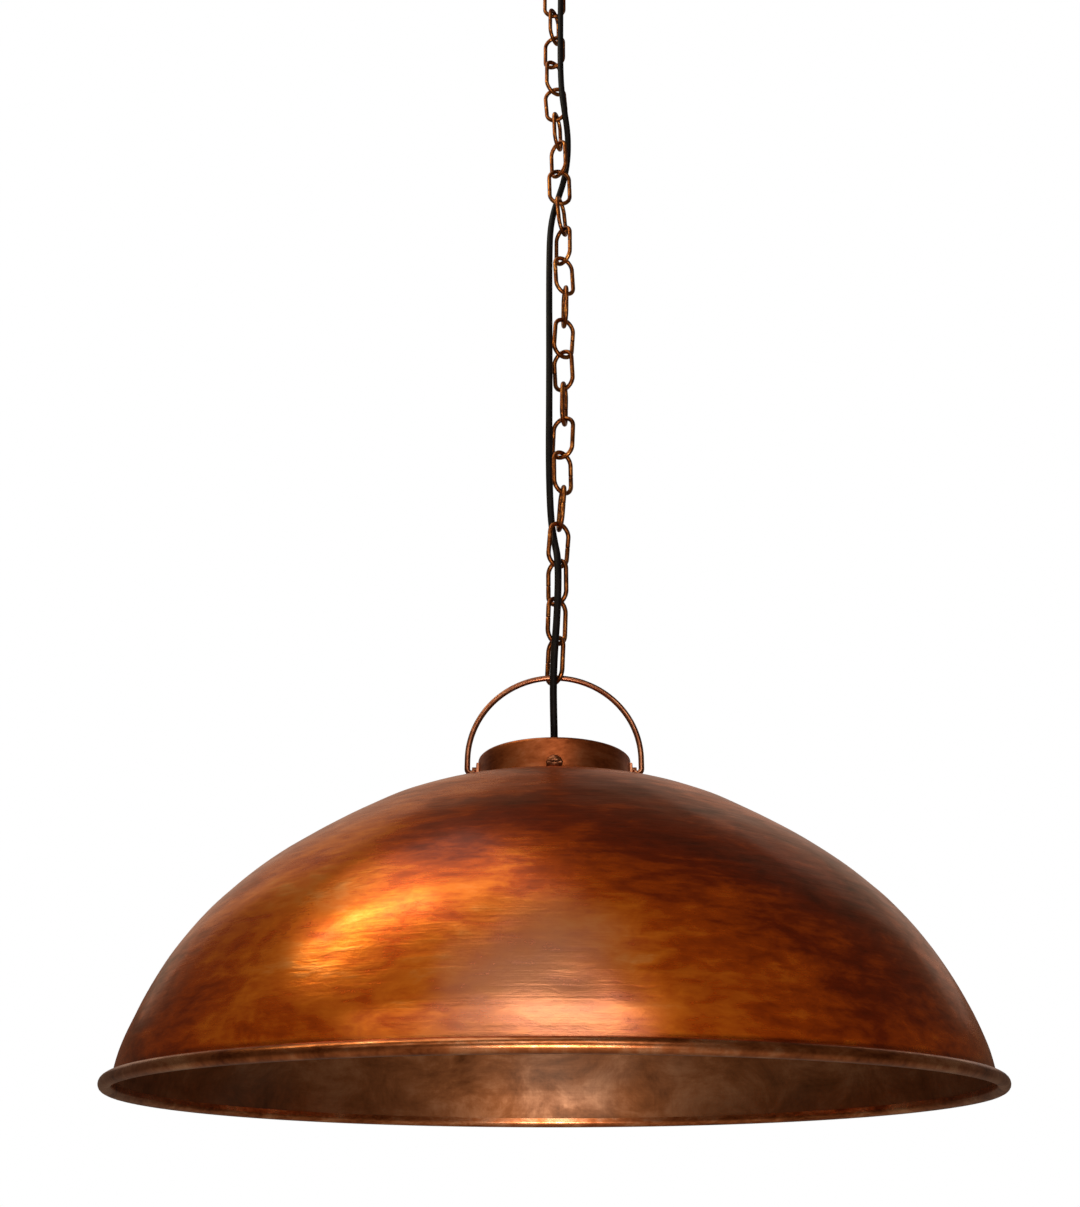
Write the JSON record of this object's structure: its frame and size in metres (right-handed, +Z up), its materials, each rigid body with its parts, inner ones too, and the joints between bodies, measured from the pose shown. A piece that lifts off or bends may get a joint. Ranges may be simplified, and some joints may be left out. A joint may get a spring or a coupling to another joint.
{
  "type": "pendant lamp",
  "caption": "Domed copper pendant lamp hung by a wire bail from a link chain, with a flex woven along the chain to a ceiling canopy.",
  "frame": {"origin": "centre of the ceiling bar's top face, on the ceiling", "axes": "+Z up into the ceiling; +Y towards the back, so the front of the lamp faces -Y; +X along the bail and the ceiling bar"},
  "size_m": [0.6012, 0.6012, 1.1536],
  "materials": {
    "copper": "brushed and aged",
    "copper_wire": "aged satin",
    "copper_screws": "satin",
    "steel": "zinc",
    "brass": "satin",
    "white_plastic": "matte",
    "black_plastic": "moulded",
    "black_rubber": "satin"
  },
  "bodies": {
    "ceiling": {"ceiling_bar": "steel", "ceiling_hook": "copper_wire", "hook_washer": "steel", "hook_nuts": "steel", "canopy": "copper", "canopy_screws": "copper_screws", "terminal_block": "white_plastic", "terminal_screws": "brass"},
    "link_01": {"link_01": "copper_wire"},
    "link_02": {"link_02": "copper_wire", "power_cord": "black_rubber"},
    "link_03": {"link_03": "copper_wire"},
    "link_04": {"link_04": "copper_wire"},
    "link_05": {"link_05": "copper_wire"},
    "link_06": {"link_06": "copper_wire"},
    "link_07": {"link_07": "copper_wire"},
    "link_08": {"link_08": "copper_wire"},
    "link_09": {"link_09": "copper_wire"},
    "link_10": {"link_10": "copper_wire"},
    "link_11": {"link_11": "copper_wire"},
    "link_12": {"link_12": "copper_wire"},
    "link_13": {"link_13": "copper_wire"},
    "link_14": {"link_14": "copper_wire"},
    "link_15": {"link_15": "copper_wire"},
    "link_16": {"link_16": "copper_wire"},
    "link_17": {"link_17": "copper_wire"},
    "link_18": {"link_18": "copper_wire"},
    "link_19": {"link_19": "copper_wire"},
    "link_20": {"link_20": "copper_wire"},
    "link_21": {"link_21": "copper_wire"},
    "link_22": {"link_22": "copper_wire"},
    "link_23": {"link_23": "copper_wire"},
    "bail": {"bail": "copper_wire", "bail_keepers": "steel"},
    "shade": {"cap": "copper", "cord_grommet": "black_rubber", "bail_lug_left": "copper_wire", "bail_lug_right": "copper_wire", "lug_rivets": "copper_wire", "cap_screws": "copper_screws", "dome": "copper", "rim_wire": "steel", "holder_bridge": "steel", "nipple": "brass", "nipple_washer": "steel", "nipple_nuts": "brass", "cord_grip": "black_plastic", "grip_screw": "white_plastic", "holder_cap": "black_plastic", "holder_skirt": "black_plastic", "holder_core": "black_plastic", "lamp_thread": "brass", "centre_contact": "brass", "shade_ring": "black_plastic"}
  },
  "joints": [
    {"name": "chain_swing_fore_aft", "type": "hinge", "parent": "ceiling", "child": "link_01", "pos_m": [0, 0, -0.06475], "axis": [1, 0, 0], "range_deg": [-20, 20], "deforming": ["power_cord"]},
    {"name": "chain_swing_side", "type": "hinge", "parent": "link_01", "child": "link_02", "pos_m": [0, 0, -0.0977], "axis": [0, 1, 0], "range_deg": [-20, 20], "deforming": ["power_cord"]},
    {"name": "bail_swing", "type": "hinge", "parent": "link_02", "child": "bail", "pos_m": [0, 0, -0.84618], "axis": [0, 1, 0], "range_deg": [-8, 8], "deforming": ["power_cord"]},
    {"name": "dome_tilt", "type": "hinge", "parent": "bail", "child": "shade", "pos_m": [0, 0, -0.91928], "axis": [1, 0, 0], "range_deg": [-25, 25], "deforming": ["power_cord"]},
    {"name": "link_03_turn", "type": "hinge", "parent": "link_02", "child": "link_03", "pos_m": [0, 0, -0.1297], "axis": [0, 0, 1], "range_deg": [-17, 19]},
    {"name": "link_04_turn", "type": "hinge", "parent": "link_02", "child": "link_04", "pos_m": [0, 0, -0.16375], "axis": [0, 0, 1], "range_deg": [-7, 14]},
    {"name": "link_05_turn", "type": "hinge", "parent": "link_02", "child": "link_05", "pos_m": [0, 0, -0.1978], "axis": [0, 0, 1], "range_deg": [-6, 19]},
    {"name": "link_06_turn", "type": "hinge", "parent": "link_02", "child": "link_06", "pos_m": [0, 0, -0.23185], "axis": [-0.0705, 0, 0.9975], "range_deg": [0, 6]},
    {"name": "link_07_turn", "type": "hinge", "parent": "link_02", "child": "link_07", "pos_m": [0.0024, 0, -0.26582], "axis": [-0.0294, 0, 0.9996], "range_deg": [-19, 12]},
    {"name": "link_08_turn", "type": "hinge", "parent": "link_02", "child": "link_08", "pos_m": [0.0034, 0, -0.29985], "axis": [-0.0264, 0, 0.9997], "range_deg": [-12, 10]},
    {"name": "link_09_turn", "type": "hinge", "parent": "link_02", "child": "link_09", "pos_m": [0.0043, 0, -0.33389], "axis": [-0.0264, 0, 0.9997], "range_deg": [-10, 10]},
    {"name": "link_10_turn", "type": "hinge", "parent": "link_02", "child": "link_10", "pos_m": [0.0052, 0, -0.36793], "axis": [-0.0822, 0, 0.9966], "range_deg": [-9, 11]},
    {"name": "link_11_turn", "type": "hinge", "parent": "link_02", "child": "link_11", "pos_m": [0.008, 0, -0.40186], "axis": [0, 0, 1], "range_deg": [-12, 13]},
    {"name": "link_12_turn", "type": "hinge", "parent": "link_02", "child": "link_12", "pos_m": [0.008, 0, -0.43591], "axis": [-0.047, 0, 0.9989], "range_deg": [-19, 13]},
    {"name": "link_13_turn", "type": "hinge", "parent": "link_02", "child": "link_13", "pos_m": [0.0096, 0, -0.46992], "axis": [0.0117, 0, 0.9999], "range_deg": [-12, 19]},
    {"name": "link_14_turn", "type": "hinge", "parent": "link_02", "child": "link_14", "pos_m": [0.0092, 0, -0.50397], "axis": [0.0587, 0, 0.9983], "range_deg": [-15, 14]},
    {"name": "link_15_turn", "type": "hinge", "parent": "link_02", "child": "link_15", "pos_m": [0.0072, 0, -0.53796], "axis": [-0.0411, 0, 0.9992], "range_deg": [-13, 9]},
    {"name": "link_16_turn", "type": "hinge", "parent": "link_02", "child": "link_16", "pos_m": [0.0086, 0, -0.57198], "axis": [0.0176, 0, 0.9998], "range_deg": [-19, 12]},
    {"name": "link_17_turn", "type": "hinge", "parent": "link_02", "child": "link_17", "pos_m": [0.008, 0, -0.60603], "axis": [0.0411, 0, 0.9992], "range_deg": [-19, 2]},
    {"name": "link_18_turn", "type": "hinge", "parent": "link_02", "child": "link_18", "pos_m": [0.0066, 0, -0.64005], "axis": [-0.0117, 0, 0.9999], "range_deg": [-17, 9]},
    {"name": "link_19_turn", "type": "hinge", "parent": "link_02", "child": "link_19", "pos_m": [0.007, 0, -0.6741], "axis": [0.0705, 0, 0.9975], "range_deg": [-8, 6]},
    {"name": "link_20_turn", "type": "hinge", "parent": "link_02", "child": "link_20", "pos_m": [0.0046, 0, -0.70806], "axis": [0.0705, 0, 0.9975], "range_deg": [-19, 10]},
    {"name": "link_21_turn", "type": "hinge", "parent": "link_02", "child": "link_21", "pos_m": [0.0022, 0, -0.74203], "axis": [-0.0059, 0, 1], "range_deg": [-2, 19]},
    {"name": "link_22_turn", "type": "hinge", "parent": "link_02", "child": "link_22", "pos_m": [0.0024, 0, -0.77608], "axis": [0.0294, 0, 0.9996], "range_deg": [-19, 11]},
    {"name": "link_23_turn", "type": "hinge", "parent": "link_02", "child": "link_23", "pos_m": [0.0014, 0, -0.81011], "axis": [0.0411, 0, 0.9992], "range_deg": [-5, 3]}
  ]
}
